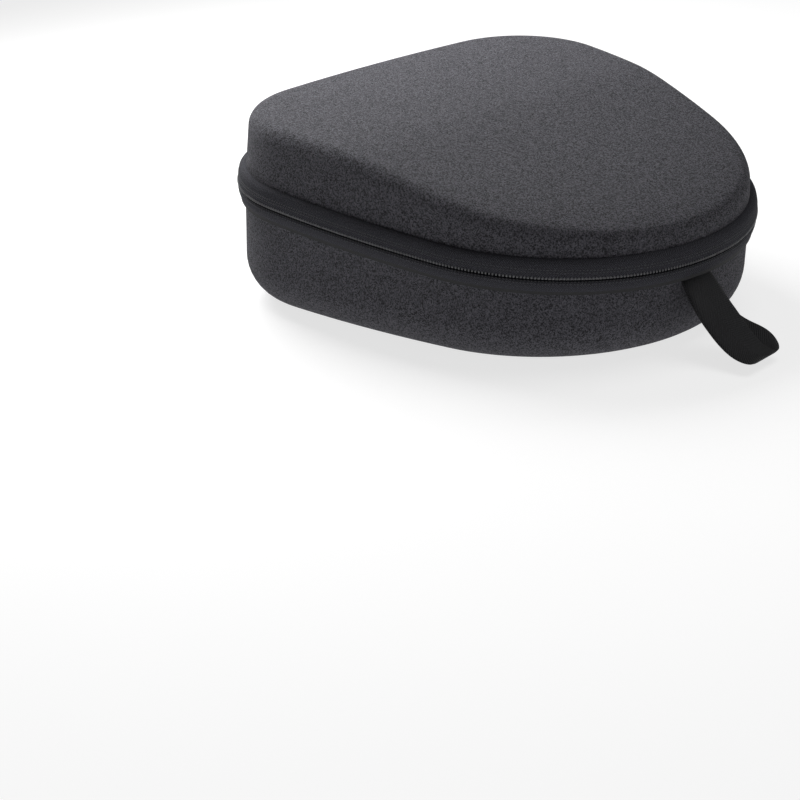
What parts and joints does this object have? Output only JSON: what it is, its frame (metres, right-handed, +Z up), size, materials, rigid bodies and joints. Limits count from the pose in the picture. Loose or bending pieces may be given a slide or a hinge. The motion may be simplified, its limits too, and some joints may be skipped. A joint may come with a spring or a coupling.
{
  "type": "headphone carrying case",
  "caption": "Zipped hard-shell carrying case for over-ear headphones, teardrop plan, raised lid crown, cloth spine, webbing loop, metal pull.",
  "frame": {"origin": "centre of the base's flat underside, under the middle of the zip outline", "axes": "+Z up, +Y towards the wide end with the cloth spine, -Y towards the rounded nose with the webbing loop, +X across the width"},
  "size_m": [0.219, 0.2714, 0.0947],
  "materials": {
    "melange_cloth": "fine grey and black melange weave",
    "eva_foam": "moulded closed-cell foam board",
    "velour_lining": "short brushed pile",
    "black_ribbon": "woven grosgrain",
    "zip_tape": "herringbone woven tape",
    "spine_cloth": "plain woven cloth",
    "zip_coil": "polyester coil",
    "rose_gold": "polished rose gold plating",
    "webbing": "herringbone webbing",
    "pocket_mesh": "knitted mesh",
    "elastic": "ribbed elastic"
  },
  "bodies": {
    "base": {"base_shell": "eva_foam", "base_cover": "melange_cloth", "base_lining": "velour_lining", "base_edge_binding": "black_ribbon", "base_zip_tape": "zip_tape", "base_zip_coil": "zip_coil", "zip_end_stops": "rose_gold", "spine_band_base": "spine_cloth", "loop_root": "webbing"},
    "lid": {"lid_shell": "eva_foam", "lid_cover": "melange_cloth", "lid_lining": "velour_lining", "lid_edge_binding": "black_ribbon", "lid_zip_tape": "zip_tape", "lid_zip_coil": "zip_coil", "spine_band_lid": "spine_cloth", "pocket_mesh": "pocket_mesh", "pocket_binding": "black_ribbon", "pocket_elastic": "elastic"},
    "slider": {"slider_body": "rose_gold"},
    "ring": {"pull_ring": "rose_gold"},
    "tab": {"pull_tab": "rose_gold"},
    "loop": {"carry_loop": "webbing"}
  },
  "joints": [
    {"name": "lid_hinge", "type": "hinge", "parent": "base", "child": "lid", "pos_m": [0, 0.11522, 0.06086], "axis": [-1, 0, 0], "range_deg": [0, 170]},
    {"name": "zip_travel", "type": "hinge", "parent": "base", "child": "slider", "pos_m": [-0.05477, 0.05786, 0.05665], "axis": [0, -0.0732, 0.9973], "range_deg": [0, 70]},
    {"name": "ring_swing", "type": "hinge", "parent": "slider", "child": "ring", "pos_m": [-0.06724, 0.11394, 0.06077], "axis": [0.9763, 0.2159, 0.0159], "range_deg": [-3, 150]},
    {"name": "tab_swing", "type": "hinge", "parent": "ring", "child": "tab", "pos_m": [-0.06724, 0.11471, 0.0503], "axis": [0.9763, 0.2159, 0.0159], "range_deg": [-4, 90]},
    {"name": "loop_swing", "type": "hinge", "parent": "base", "child": "loop", "pos_m": [0, -0.11123, 0.0306], "axis": [-1, 0, 0], "range_deg": [-30, 25]}
  ]
}
